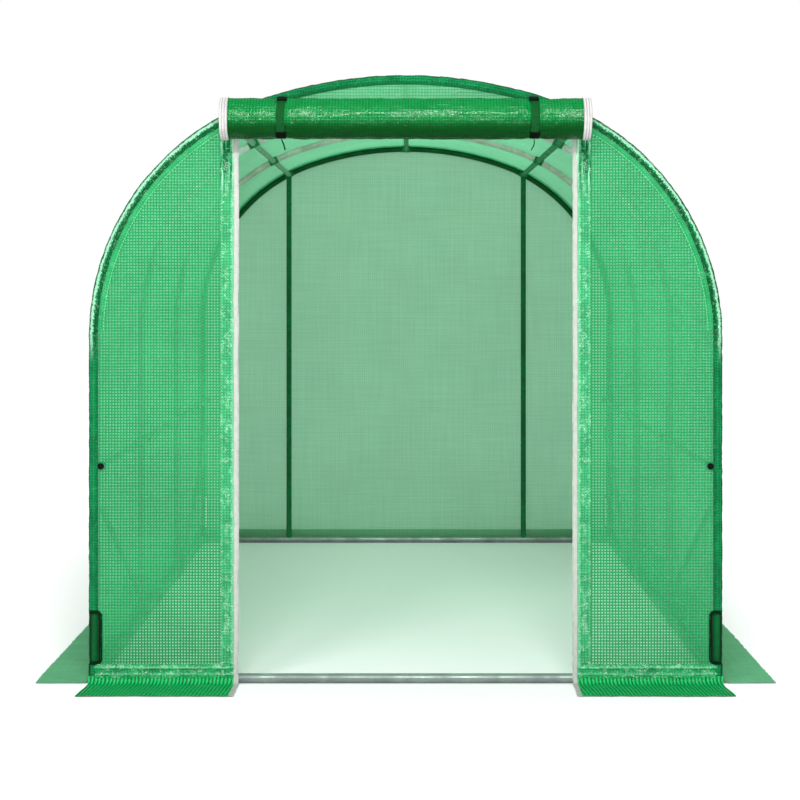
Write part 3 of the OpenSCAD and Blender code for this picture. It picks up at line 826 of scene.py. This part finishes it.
outline = slot_outline()
for end, name in ENDS:
    for side, label in SIDES:
        C, K = np.meshgrid(np.linspace(-0.0062, 0.0048, 7), np.arange(len(outline)))
        X, Z = outline[K, 0] + C * outline[K, 2], outline[K, 1] + C * outline[K, 3]
        Y = end_face(end) + end * (0.0024 + 0.0012 * np.cos(np.pi * (C + 0.001) / 0.012)) + 0 * X
        binding = sheet_mesh(f"{name}_{label}_slot_binding", join_points(side * X, Y, Z), K * 0.004, C,
                             SHADED_SLOT_BINDING)
        if side * end > 0:
            binding.data.flip_normals()
        settle(binding, "sleeve_sheet")

# %% [markdown]
# ## Facings and hems of the front panels
# Beside the zip the panel is doubled and puckered by the sewing. At its foot a hem,
# folded over and pulled by the skirt below, catches the light in two long lines, which are
# painted as pale bands with a line of painted shade between them.

# %% The puckered facing beside each zip
ROLL_SAG, ROLL_SWELL = 0.006, 0.0035               # the full roll sags, and its turns spring out
ROLL_Z = (low("door_roll").z + high("door_roll").z) / 2 - ROLL_SAG
FACING_AT, FACING_W = 0.004, 0.046
for side, label in SIDES:
    x = np.sort(side * np.linspace(DOOR_X + FACING_AT, DOOR_X + FACING_AT + FACING_W, 22))
    X, Z = np.meshgrid(x, np.linspace(0.05, ROLL_Z - 0.03, 620))
    gather = ease(Z, 1.48, 1.68)
    pucker = 0.0009 + 0.0007 * bumps(X, Z, 0.012, 0.014, 31) + 0.0008 * bumps(X, Z, 0.02, 0.045, 32)
    pucker = pucker + gather * 0.006 * (bumps(X, Z, 0.0085, 0.16, 33) * 0.5 + 0.5)
    Y = FRONT_Y - 0.0012 - front_ripple(X, Z) - np.maximum(pucker, 0)
    facing = sheet_mesh(f"{label}_zip_facing", join_points(X, Y, Z), Z, np.abs(X) - DOOR_X, FACING_FILM)
    settle(facing, "cover_sheet")

# %% The hem at the foot of each front panel
HEM_LOW, HEM_HIGH = 0.020, 0.064
for side, label in SIDES:
    x = np.sort(side * np.linspace(DOOR_X + 0.006, HALF_W - 0.006, 260))
    X, Z = np.meshgrid(x, np.linspace(HEM_LOW, HEM_HIGH, 26))
    fold = np.exp(-((Z - 0.052) / 0.0045) ** 2) + np.exp(-((Z - 0.031) / 0.005) ** 2)
    hang = 0.0022 + 0.0036 * fold * (0.75 + 0.25 * bumps(X, Z, 0.05, 0.1, 34))
    hang = hang + 0.0011 * bumps(X, Z, 0.016, 0.011, 35) + 0.0008 * bumps(X, Z, 0.007, 0.007, 36)
    corner = ease(np.abs(X), HALF_W - 0.030, HALF_W - 0.004)
    Y = FRONT_Y - hang + corner * 0.012
    hem = sheet_mesh(f"front_{label}_hem", join_points(X, Y, Z), X, Z, HEM_FILM)
    settle(hem, "sleeve_sheet")

# %% [markdown]
# ## The skirts
# Each side has a skirt sewn to its foot that lies out on the ground, to be held down
# with soil. The cloth comes down the wall, turns in a soft bend and lies nearly flat,
# with long shallow waves along its free edge.

# %% One skirt, laid out from the wall to its free edge
SKIRT = high("right_skirt").x - HALF_W
FRONT_BEND, SIDE_BEND, ZIP_BEND = 0.020, 0.022, 0.024      # radius of the bend at the ground
WALL_SEAM = 0.062                                  # height of the seam on the walls


def skirt_line(d, start_z, bend):
    """Distance out and height at a distance d along the cloth, from start_z down the wall."""
    drop = start_z - bend
    quarter = bend * math.pi / 2
    a = np.clip((d - drop) / bend, 0, math.pi / 2)
    out = np.where(d < drop, 0, bend * (1 - np.cos(a)) + np.maximum(d - drop - quarter, 0))
    z = np.where(d < drop, start_z - d, bend * (1 - np.sin(a)))
    return out, z


def lay_skirt(name, start, stop, at, start_z, bend, material, seed, columns, splay=0.0):
    """at(along, out, z) gives the place of each point. The skirt runs from start to stop."""
    length = start_z - bend + bend * math.pi / 2 + SKIRT - 0.001 - bend
    along, d = np.linspace(start, stop, columns), np.linspace(0, length, 44)
    A, D = np.meshgrid(along, d)
    out, z = skirt_line(D, start_z, bend)
    free = ease(out, 0.02, SKIRT)
    wave = 0.5 + 0.5 * bumps(A, out, 0.12, 0.35, seed)
    fine = 0.0012 * (1 + bumps(A, out, 0.03, 0.05, seed + 1)) * ease(out, 0, 0.02)
    z = z + 0.0012 + free * 0.004 * wave**2 + fine
    out = out + 0.0015 * bumps(A, D, 0.02, 0.1, seed + 2) * free
    A = A + splay * free * ((A - (start + stop) / 2) > 0)
    piece = sheet_mesh(name, join_points(*at(A, out, z)), A, -D, material)
    return piece, length


for side, label in SIDES:
    place = lambda a, out, z: (side * a, FRONT_Y - 0.002 - out, z)
    skirt, length = lay_skirt(f"front_{label}_skirt", DOOR_X + 0.004, HALF_W, place, HEM_LOW + 0.004,
                              FRONT_BEND, FRONT_SKIRT_FILM, 41 + side, 150, splay=0.012)
    if side > 0:
        skirt.data.flip_normals()
    settle(skirt, "sleeve_sheet", "front_skirts")
    place = lambda a, out, z: (side * (HALF_W + 0.001 + out), a, z)
    skirt, length = lay_skirt(f"{label}_side_skirt", FRONT_Y + 0.006, BACK_Y - 0.006, place, WALL_SEAM,
                              SIDE_BEND, SKIRT_FILM, 51 + side, 420)
    if side < 0:
        skirt.data.flip_normals()
    settle(skirt, "cover_sheet", f"{label}_skirt")

place = lambda a, out, z: (a, BACK_Y + 0.001 + out, z)
skirt, length = lay_skirt("back_ground_skirt", -HALF_W, HALF_W, place, WALL_SEAM, SIDE_BEND, SKIRT_FILM,
                          61, 280)
settle(skirt, "cover_sheet", "back_skirt")


# %% [markdown]
# ## Things that repeat along a line
# Stitches and zip teeth are one small block repeated along a seam. A Geometry Nodes
# tree turns the seam's line into evenly spaced points and sets a block on each, turned
# to follow the seam and to stand out from the cloth.

# %% The tree that repeats a block along a line
def repeat_tree():
    tree = bpy.data.node_groups.new("Repeat along a seam", "GeometryNodeTree")
    for label, kind, value in (("Geometry", "NodeSocketGeometry", None),
                               ("Spacing", "NodeSocketFloat", 0.01),
                               ("Length", "NodeSocketFloat", 0.006),
                               ("Width", "NodeSocketFloat", 0.0015),
                               ("Height", "NodeSocketFloat", 0.001),
                               ("Jitter", "NodeSocketFloat", 0.05),
                               ("Material", "NodeSocketMaterial", None)):
        socket = tree.interface.new_socket(label, in_out="INPUT", socket_type=kind)
        if value is not None:
            socket.default_value = value
    tree.interface.new_socket("Geometry", in_out="OUTPUT", socket_type="NodeSocketGeometry")
    add, link = tree.nodes.new, tree.links.new
    start, finish = add("NodeGroupInput"), add("NodeGroupOutput")
    line = add("GeometryNodeMeshToCurve")
    even = add("GeometryNodeResampleCurve")
    even.mode = "LENGTH"
    link(start.outputs["Geometry"], line.inputs[0])
    link(line.outputs[0], even.inputs["Curve"])
    link(start.outputs["Spacing"], even.inputs["Length"])
    tangent = add("GeometryNodeInputTangent")
    outward = add("GeometryNodeInputNamedAttribute")
    outward.data_type = "FLOAT_VECTOR"
    outward.inputs["Name"].default_value = "outward"
    aim_x, aim_z = add("FunctionNodeAlignRotationToVector"), add("FunctionNodeAlignRotationToVector")
    aim_x.axis, aim_z.axis, aim_z.pivot_axis = "X", "Z", "X"
    link(tangent.outputs[0], aim_x.inputs["Vector"])
    link(aim_x.outputs[0], aim_z.inputs["Rotation"])
    link(outward.outputs["Attribute"], aim_z.inputs["Vector"])
    block = add("GeometryNodeMeshCube")
    size = add("ShaderNodeCombineXYZ")
    for axis, label in zip("XYZ", ("Length", "Width", "Height")):
        link(start.outputs[label], size.inputs[axis])
    link(size.outputs[0], block.inputs["Size"])
    vary = add("FunctionNodeRandomValue")
    vary.data_type = "FLOAT_VECTOR"
    vary.inputs["Seed"].default_value = 7
    spread = [add("ShaderNodeMath") for _ in range(2)]
    for node, operation in zip(spread, ("SUBTRACT", "ADD")):
        node.operation = operation
        node.inputs[0].default_value = 1.0
        link(start.outputs["Jitter"], node.inputs[1])
    vector_sockets = [s for s in vary.inputs if s.type == "VECTOR"]
    for node, socket in zip(spread, vector_sockets):
        join = add("ShaderNodeCombineXYZ")
        for axis in "XYZ":
            link(node.outputs[0], join.inputs[axis])
        link(join.outputs[0], socket)
    place = add("GeometryNodeInstanceOnPoints")
    link(even.outputs[0], place.inputs["Points"])
    link(block.outputs["Mesh"], place.inputs["Instance"])
    link(aim_z.outputs[0], place.inputs["Rotation"])
    link(next(s for s in vary.outputs if s.type == "VECTOR"), place.inputs["Scale"])
    real, paint = add("GeometryNodeRealizeInstances"), add("GeometryNodeSetMaterial")
    link(place.outputs[0], real.inputs[0])
    link(real.outputs[0], paint.inputs["Geometry"])
    link(start.outputs["Material"], paint.inputs["Material"])
    link(paint.outputs[0], finish.inputs[0])
    return tree


REPEAT = repeat_tree()


def repeat_along(name, lines, spacing, size, material, jitter=0.05):
    """lines is a list of (points, outward directions); the result is one plain mesh."""
    mesh = bpy.data.meshes.new(name)
    points, edges, outward = [], [], []
    for line, out in lines:
        first = len(points)
        points += [tuple(p) for p in line]
        outward += [tuple(o) for o in out]
        edges += [(first + k, first + k + 1) for k in range(len(line) - 1)]
    mesh.from_pydata(points, edges, [])
    mesh.attributes.new("outward", "FLOAT_VECTOR", "POINT").data.foreach_set(
        "vector", np.array(outward, np.float32).ravel())
    seam = add_object(name + "_line", mesh)
    modifier = seam.modifiers.new("Repeat", "NODES")
    modifier.node_group = REPEAT
    values = {"Spacing": spacing, "Length": size[0], "Width": size[1], "Height": size[2],
              "Jitter": jitter, "Material": material}
    for item in REPEAT.interface.items_tree:
        if item.in_out == "INPUT" and item.name in values:
            modifier[item.identifier] = values[item.name]
    bpy.context.view_layer.update()
    made = bpy.data.meshes.new_from_object(seam.evaluated_get(bpy.context.evaluated_depsgraph_get()))
    made.name = name
    bpy.data.objects.remove(seam)
    piece = add_object(name, made)
    if not made.uv_layers:
        made.uv_layers.new(name="cloth")
    made.uv_layers[0].name = "cloth"
    print(name, len(made.polygons), "faces")
    return piece


# %% The stitching that holds the folds and the zip facings
def fold_stitches(y, start, stop, steps=260):
    """A line of stitches just inside the fold's edge, and which way is outwards there."""
    x, z, _, _ = arch(np.linspace(start, stop, steps), 0.003 - FOLD_IN)
    return list(zip(x, [y] * steps, z)), [(0, -1 if y < 0 else 1, 0)] * steps


lines = []
for y in (FRONT_Y - 0.0026, BACK_Y + 0.0018):
    lines.append(fold_stitches(y, FOLD_FROM, FOLD_TO))
    lines.append(fold_stitches(y, ARCH_S - FOLD_TO, ARCH_S - FOLD_FROM))
for side, _ in SIDES:
    z = np.linspace(0.07, ROLL_Z - 0.06, 300)
    x = np.full(300, side * (DOOR_X + 0.046))
    y = FRONT_Y - 0.0034 - front_ripple(x, z)
    lines.append((list(zip(x, y, z)), [(0, -1, 0)] * 300))
stitches = repeat_along("seam_stitches", lines, 0.0105, (0.0062, 0.0014, 0.0009), STITCH_THREAD, 0.12)
settle(stitches, "white_zip_tape")

# %% [markdown]
# ## The zips
# A white zip runs down each side of the doorway and out along the edge of the skirt.
# Each is a strip of tape with a row of moulded teeth on its door side. The tape isn't
# perfectly straight: the sewing pulls it a little to and fro.

# %% Zip tapes and their teeth
ZIP_TOP = high("door_zips").z + 0.02
ZIP_W = 0.016


def zip_line(side, steps=520):
    """Points down the doorway's side and out over the skirt, with what is outward there."""
    drop = ZIP_TOP - ZIP_BEND
    d = np.linspace(0, drop + ZIP_BEND * math.pi / 2 + SKIRT - 0.026, steps)
    out, z = skirt_line(d, ZIP_TOP, ZIP_BEND)
    x = side * (DOOR_X + 0.0012 * bumps(d, d * 0, 0.09, 1.0, 71 + side)
                + 0.0006 * bumps(d, d * 0, 0.02, 1, 72))
    a = np.clip((d - drop) / ZIP_BEND, 0, math.pi / 2)
    return d, x, FRONT_Y - 0.0042 - out, z + 0.0035, np.stack([a * 0, -np.cos(a), np.sin(a)], -1)


teeth_lines = []
for side, label in SIDES:
    d, x, y, z, outward = zip_line(side)
    D, C = np.meshgrid(d, np.linspace(-ZIP_W / 2, ZIP_W / 2, 7))
    crown = 0.0006 * np.cos(np.pi * C / 0.02) + 0.0003 * bumps(D, C, 0.012, 0.008, 73)
    points = join_points(x[None, :] + C, y[None, :] + crown * outward[None, :, 1],
                         z[None, :] + crown * outward[None, :, 2])
    tape = sheet_mesh(f"{label}_zip_tape", points, D, C, ZIP_WHITE)
    tape.data.flip_normals()
    thicken(tape, 0.0009)
    settle(tape, "white_zip_tape", "door_zips")
    line = np.stack([x - side * 0.0062, y, z], -1) + outward * 0.0014
    teeth_lines.append((line.tolist(), outward.tolist()))
teeth = repeat_along("zip_teeth", teeth_lines, 0.0034, (0.0021, 0.0034, 0.0016), ZIP_TEETH, 0.02)
settle(teeth, "white_zip_tape")

# %% [markdown]
# ## The rolled-up door
# The door is wound up from its foot into a roll that hangs over the doorway. It is one
# long sheet: from its seam it comes down behind the roll and then winds inwards, turn
# inside turn. The film is stiff, so it creases along its length, and it is pinched
# where the two straps hold it.

# %% The winding
ROLL_R = (high("door_roll").z - low("door_roll").z) / 2 + ROLL_SWELL
ROLL_Y = (low("door_roll").y + high("door_roll").y) / 2 - ROLL_SWELL     # its back stays where it was
ROLL_HALF = high("door_roll").x
ROLL_LEAD = 0.030                                  # cloth between the seam and the first turn
TURNS, TURN_GAP = 6, 0.0048
TOGGLE_W = 0.032
STRAP_X = high("roll_straps").x - TOGGLE_W / 2
STRAPS = (-STRAP_X + 0.008, STRAP_X + 0.006)               # the left one is tied a little further in


def pinch(x, width):
    """How much a strap's squeeze is felt at x, from 0 to 1, over about this width."""
    return sum(np.exp(-((x - at) / width) ** 2) for at in STRAPS)


def winding(x, angle, lift=0.0):
    """Places on the roll. angle is measured from the back of the roll, downwards and round."""
    arc = (angle % (2 * math.pi)) / (2 * math.pi) * 32
    ruck = (0.0011 * bumps(x, arc, 0.11, 1.0, 81)
            + (0.0010 + 0.0016 * pinch(x, 0.085)) * bumps(x, arc, 0.026, 1.0, 82)
            + 0.0006 * bumps(x, arc, 0.012, 0.5, 83))
    radius = ROLL_R - TURN_GAP * angle / (2 * math.pi) + lift + ruck - 0.0062 * pinch(x, 0.020)
    return ROLL_Y + radius * np.cos(angle), ROLL_Z + 0.001 - radius * np.sin(angle)


def roll_sheet(name, x, material, per_turn, lift=0.0):
    """A sheet wound into the roll, and its length along the winding."""
    lead = np.linspace(ROLL_LEAD, 0.002, 6)                   # down from the seam, behind the roll
    angle = np.linspace(0, 2 * math.pi * TURNS, per_turn * TURNS)
    step = ROLL_R - TURN_GAP * angle / (2 * math.pi)
    along = np.concatenate([ROLL_LEAD - lead, ROLL_LEAD + np.cumsum(np.gradient(angle) * step)])
    X, A = np.meshgrid(x, angle)
    Yw, Zw = winding(X, A, lift)
    Xl, L = np.meshgrid(x, lead)
    Yl, Zl = winding(Xl, L * 0, lift)
    Y = np.concatenate([Yl + (FRONT_Y - 0.001 - Yl) * (L / ROLL_LEAD) * 0.8, Yw])
    Z = np.concatenate([Zl + L, Zw])
    XX = np.concatenate([Xl, X])
    U, V = np.meshgrid(x, -along)
    piece = sheet_mesh(name, join_points(XX, Y, Z), U, V, material)
    return piece, float(along[-1])


x = np.linspace(-ROLL_HALF, ROLL_HALF, 210)
roll, wound = roll_sheet("rolled_door", x, ROLL_FILM, 64)
roll.data.flip_normals()
settle(roll, "sleeve_sheet", "door_roll")
print("door cloth wound up", round(wound, 3), "m long")

# %% The zip tape wound up at the roll's ends
TAPE_OUT = high("roll_end_tapes").x
for side, label in SIDES:
    x = np.sort(side * np.linspace(ROLL_HALF - 0.003, TAPE_OUT, 19))
    ridges = 0.0022 * np.abs(np.sin(np.pi * 3 * (np.abs(x) - ROLL_HALF) / (TAPE_OUT - ROLL_HALF)))
    tape, length = roll_sheet(f"{label}_rolled_tape", x, ROLLED_TAPE, 48, lift=0.0004 + ridges)
    tape.data.flip_normals()
    thicken(tape, 0.0012)
    settle(tape, "white_zip_tape", "roll_end_tapes")

# %% [markdown]
# ## The two straps
# A webbing strap goes round the roll at each side and pinches it. It is closed by a
# small black toggle on top and drawn tight through a black slider below, where its
# loose end hangs down.

# %% The webbing loops and their loose ends
STRAP_W = 0.0255
STRAP_RING = ROLL_R - 0.0046
END_W, END_L = 0.012, 0.036                        # the loose end


def strap_place(angle, lift):
    """Places on the strap, at a height over its ring; angle 0 is the front, 90 degrees the top."""
    radius = STRAP_RING + lift
    return ROLL_Y - radius * np.cos(angle), ROLL_Z + radius * np.sin(angle)


for (side, label), at in zip(SIDES, STRAPS):
    C, A = np.meshgrid(np.linspace(-STRAP_W / 2, STRAP_W / 2, 9), np.linspace(0, 2 * math.pi, 121))
    Y, Z = strap_place(A, 0.0006 * np.cos(np.pi * C / STRAP_W) + 0.0003 * np.cos(A * 9))
    X = at + (C + 0.0012 * np.sin(A * 2 + side))
    strap = sheet_mesh(f"{label}_roll_strap", join_points(X, Y, Z), C, A * STRAP_RING, WEBBING)
    thicken(strap, 0.0015)
    settle(strap, "webbing", "roll_straps")

    C, D = np.meshgrid(np.linspace(-END_W / 2, END_W / 2, 5), np.linspace(0, END_L, 14))
    swing = side * -0.010 * (D / END_L) ** 1.5 + 0.003 * np.sin(D / END_L * 3.0)
    X = at + swing + 0.25 * C
    Y = ROLL_Y + 0.002 + C
    Z = ROLL_Z - STRAP_RING - 0.0035 - D * 0.92
    tail = sheet_mesh(f"{label}_strap_end", join_points(X, Y, Z), C, D, WEBBING)
    thicken(tail, 0.0014)
    settle(tail, "webbing", "roll_straps")


# %% The black toggles and sliders
def bent_block(name, x, width, depth, low_angle, high_angle, bevel):
    """A block with softened edges, wrapped round the roll from one angle to another in degrees."""
    bm = bmesh.new()
    bmesh.ops.create_cube(bm, size=1.0)
    edges = [e for e in bm.edges if abs((e.verts[0].co - e.verts[1].co).z) > 0.5]
    bmesh.ops.subdivide_edges(bm, edges=edges, cuts=12)
    first, last = math.radians(low_angle), math.radians(high_angle)
    for vertex in bm.verts:
        p = vertex.co
        y, z = strap_place(first + (p.z + 0.5) * (last - first), depth * (0.5 - p.y) - 0.0008)
        vertex.co = Vector((x + p.x * width, float(y), float(z)))
    bmesh.ops.recalc_face_normals(bm, faces=bm.faces)
    mesh = bpy.data.meshes.new(name)
    bm.to_mesh(mesh)
    bm.free()
    mesh.materials.append(BLACK_PLASTIC)
    block = add_object(name, mesh)
    soften = block.modifiers.new("Soft edges", "BEVEL")
    soften.width, soften.segments, soften.limit_method = bevel, 3, "ANGLE"
    return block


for (side, label), at in zip(SIDES, STRAPS):
    toggle = bent_block(f"{label}_toggle", at - side * 0.002, 0.030, 0.0095, 60, 92, 0.0030)
    settle(toggle, "black_plastic", "roll_straps")
    # The slider sits under the roll where the strap lies in shade; its black is partly painted shade.
    slider = bent_block(f"{label}_slider", at, 0.031, 0.0035, -84, -46, 0.0012)
    settle(slider, "black_plastic", "roll_straps")

# %% [markdown]
# ## Floor, light and camera
# A pale floor, a bright even surround and four large soft lights, as in a studio. The
# light over the tunnel shines through the film, so the inside glows green. Only the
# front light, a long narrow one, shows as a streak on the glossy roll. The camera stands
# in front at chest height and looks straight at the front end. Its picture is shifted,
# not tilted, to bring the ground into view, so uprights stay upright.

# %% The studio
bpy.ops.mesh.primitive_plane_add(size=60, location=(0, 0, -0.0008))
floor = bpy.context.object
floor.name = "studio_floor"
floor.visible_glossy = False                  # its mirror image would grey the glossy film
paper, tree, surface, place = new_material("studio paper", uv=False)
shade, _ = blotched(tree, place, srgb(246, 246, 246), 0.6, 0.02)
plug(tree, surface.inputs["Base Color"], shade)
set_gloss(surface, 0.9, 0.1)
away = tree.nodes.new("ShaderNodeVectorMath")           # a white sweep behind, plain paper near by
away.operation = "LENGTH"
tree.links.new(place, away.inputs[0])
sweep = smooth_range(tree, away.outputs["Value"], 2.2, 7.0, 0.06, 0.52)
plug(tree, surface.inputs["Emission Color"], mix_colour(tree, sweep, (0, 0, 0, 1), (1, 1, 1, 1)))
surface.inputs["Emission Strength"].default_value = 1.0
floor.data.materials.append(paper)

world = bpy.data.worlds.new("Studio") if not scene.world else scene.world
scene.world = world
world.use_nodes = True
paper_sky = world.node_tree.nodes["Background"]
paper_sky.inputs["Color"].default_value = (1.0, 1.0, 1.0, 1.0)
seen = world.node_tree.nodes.new("ShaderNodeLightPath")     # white to look at, softer as a light
brightness = smooth_range(world.node_tree, seen.outputs["Is Camera Ray"], 0.0, 1.0, 0.55, 1.0)
plug(world.node_tree, paper_sky.inputs["Strength"],
     math_node(world.node_tree, "MULTIPLY_ADD", seen.outputs["Is Glossy Ray"], -0.42, brightness))


def soft_light(name, place, aim, size, power, height=None, gloss=True):
    lamp = bpy.data.lights.new(name, "AREA")
    lamp.shape, lamp.size, lamp.energy = "RECTANGLE", size, power
    lamp.size_y = size if height is None else height
    light = add_object(name, lamp)
    light.location = place
    light.rotation_euler = (Vector(aim) - Vector(place)).to_track_quat("-Z", "Y").to_euler()
    light.visible_glossy = gloss                # False where only its glow is wanted, not its mirror image


soft_light("key", (-2.6, -5.6, 4.6), (0, -1.2, 0.9), 1.6, 115, gloss=False)
soft_light("front", (0.0, -6.4, 4.1), (0, -1.5, 1.6), 2.6, 240, height=0.35)
soft_light("over", (0.4, 0.8, 5.2), (0, 0, 0.8), 3.0, 230, gloss=False)
soft_light("fill", (0.0, -7.2, 1.2), (0, 0, 1.3), 2.0, 110, gloss=False)

# %% The camera
lens = bpy.data.cameras.new("camera")
lens.sensor_width, lens.lens = 36, 79.5
lens.shift_x, lens.shift_y = -0.009, -0.1524
camera = add_object("camera", lens)
camera.location = (0.005, FRONT_Y - 5.57, 1.28)
camera.rotation_euler = (math.pi / 2, 0, 0)
scene.camera = camera
scene.view_settings.view_transform = "Standard"
scene.view_settings.look = "None"
